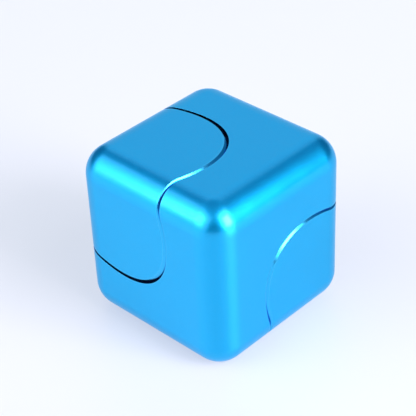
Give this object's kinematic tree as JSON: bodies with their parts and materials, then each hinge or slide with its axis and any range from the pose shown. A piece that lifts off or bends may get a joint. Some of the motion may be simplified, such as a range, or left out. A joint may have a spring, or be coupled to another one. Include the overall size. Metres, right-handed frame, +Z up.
{
  "type": "fidget cube spinner",
  "caption": "Rounded metal cube held by two opposite corner caps, whose body spins about the diagonal between them on a central ball bearing.",
  "frame": {"origin": "on the resting plane, under the centre of the closed cube", "axes": "+Z up, -Y and +X out of the two upright faces seen from the front; the spin axis runs from the (+X, +Y, -Z) corner to the (-X, -Y, +Z) corner"},
  "size_m": [0.03, 0.03, 0.03],
  "materials": {
    "anodised_blue": "bead-blasted and blue anodised, satin",
    "axle_steel": "ground",
    "spacer_brass": "turned",
    "spring_steel": "phosphated spring steel",
    "ground_steel": "ground",
    "polished_steel": "polished",
    "cage_steel": "pressed strip",
    "shield_steel": "pressed and zinc plated"
  },
  "bodies": {
    "caps": {"upper_cap": "anodised_blue", "lower_cap": "anodised_blue", "axle": "axle_steel", "upper_spacer": "spacer_brass", "lower_spacer": "spacer_brass", "bearing_inner_ring": "ground_steel"},
    "spinner": {"spinner_body": "anodised_blue", "retaining_ring": "spring_steel", "bearing_outer_ring": "ground_steel", "bearing_shield_upper": "shield_steel", "bearing_shield_lower": "shield_steel"},
    "cage": {"bearing_cage_upper": "cage_steel", "bearing_cage_lower": "cage_steel", "bearing_cage_rivets": "cage_steel"},
    "ball_1": {"bearing_ball_1": "polished_steel"},
    "ball_2": {"bearing_ball_2": "polished_steel"},
    "ball_3": {"bearing_ball_3": "polished_steel"},
    "ball_4": {"bearing_ball_4": "polished_steel"},
    "ball_5": {"bearing_ball_5": "polished_steel"},
    "ball_6": {"bearing_ball_6": "polished_steel"},
    "ball_7": {"bearing_ball_7": "polished_steel"}
  },
  "joints": [
    {"name": "spinner_spin", "type": "hinge", "parent": "caps", "child": "spinner", "pos_m": [0, 0, 0.015], "axis": [-0.5774, -0.5774, 0.5774], "continuous": true},
    {"name": "cage_spin", "type": "hinge", "parent": "caps", "child": "cage", "pos_m": [0, 0, 0.015], "axis": [-0.5774, -0.5774, 0.5774], "continuous": true},
    {"name": "ball_1_spin", "type": "hinge", "parent": "cage", "child": "ball_1", "pos_m": [0.00224, -0.00606, 0.01118], "axis": [-0.5774, -0.5774, 0.5774], "continuous": true},
    {"name": "ball_2_spin", "type": "hinge", "parent": "cage", "child": "ball_2", "pos_m": [0.00585, -0.00449, 0.01636], "axis": [-0.5774, -0.5774, 0.5774], "continuous": true},
    {"name": "ball_3_spin", "type": "hinge", "parent": "cage", "child": "ball_3", "pos_m": [0.00506, 0.00046, 0.02052], "axis": [-0.5774, -0.5774, 0.5774], "continuous": true},
    {"name": "ball_4_spin", "type": "hinge", "parent": "cage", "child": "ball_4", "pos_m": [0.00046, 0.00506, 0.02052], "axis": [-0.5774, -0.5774, 0.5774], "continuous": true},
    {"name": "ball_5_spin", "type": "hinge", "parent": "cage", "child": "ball_5", "pos_m": [-0.00449, 0.00585, 0.01636], "axis": [-0.5774, -0.5774, 0.5774], "continuous": true},
    {"name": "ball_6_spin", "type": "hinge", "parent": "cage", "child": "ball_6", "pos_m": [-0.00606, 0.00224, 0.01118], "axis": [-0.5774, -0.5774, 0.5774], "continuous": true},
    {"name": "ball_7_spin", "type": "hinge", "parent": "cage", "child": "ball_7", "pos_m": [-0.00306, -0.00306, 0.00888], "axis": [-0.5774, -0.5774, 0.5774], "continuous": true}
  ],
  "couplings": [
    {"joint": "cage_spin", "follows": "spinner_spin", "ratio": 0.6323},
    {"joint": "ball_1_spin", "follows": "spinner_spin", "ratio": 1.7573},
    {"joint": "ball_2_spin", "follows": "spinner_spin", "ratio": 1.7573},
    {"joint": "ball_3_spin", "follows": "spinner_spin", "ratio": 1.7573},
    {"joint": "ball_4_spin", "follows": "spinner_spin", "ratio": 1.7573},
    {"joint": "ball_5_spin", "follows": "spinner_spin", "ratio": 1.7573},
    {"joint": "ball_6_spin", "follows": "spinner_spin", "ratio": 1.7573},
    {"joint": "ball_7_spin", "follows": "spinner_spin", "ratio": 1.7573}
  ]
}
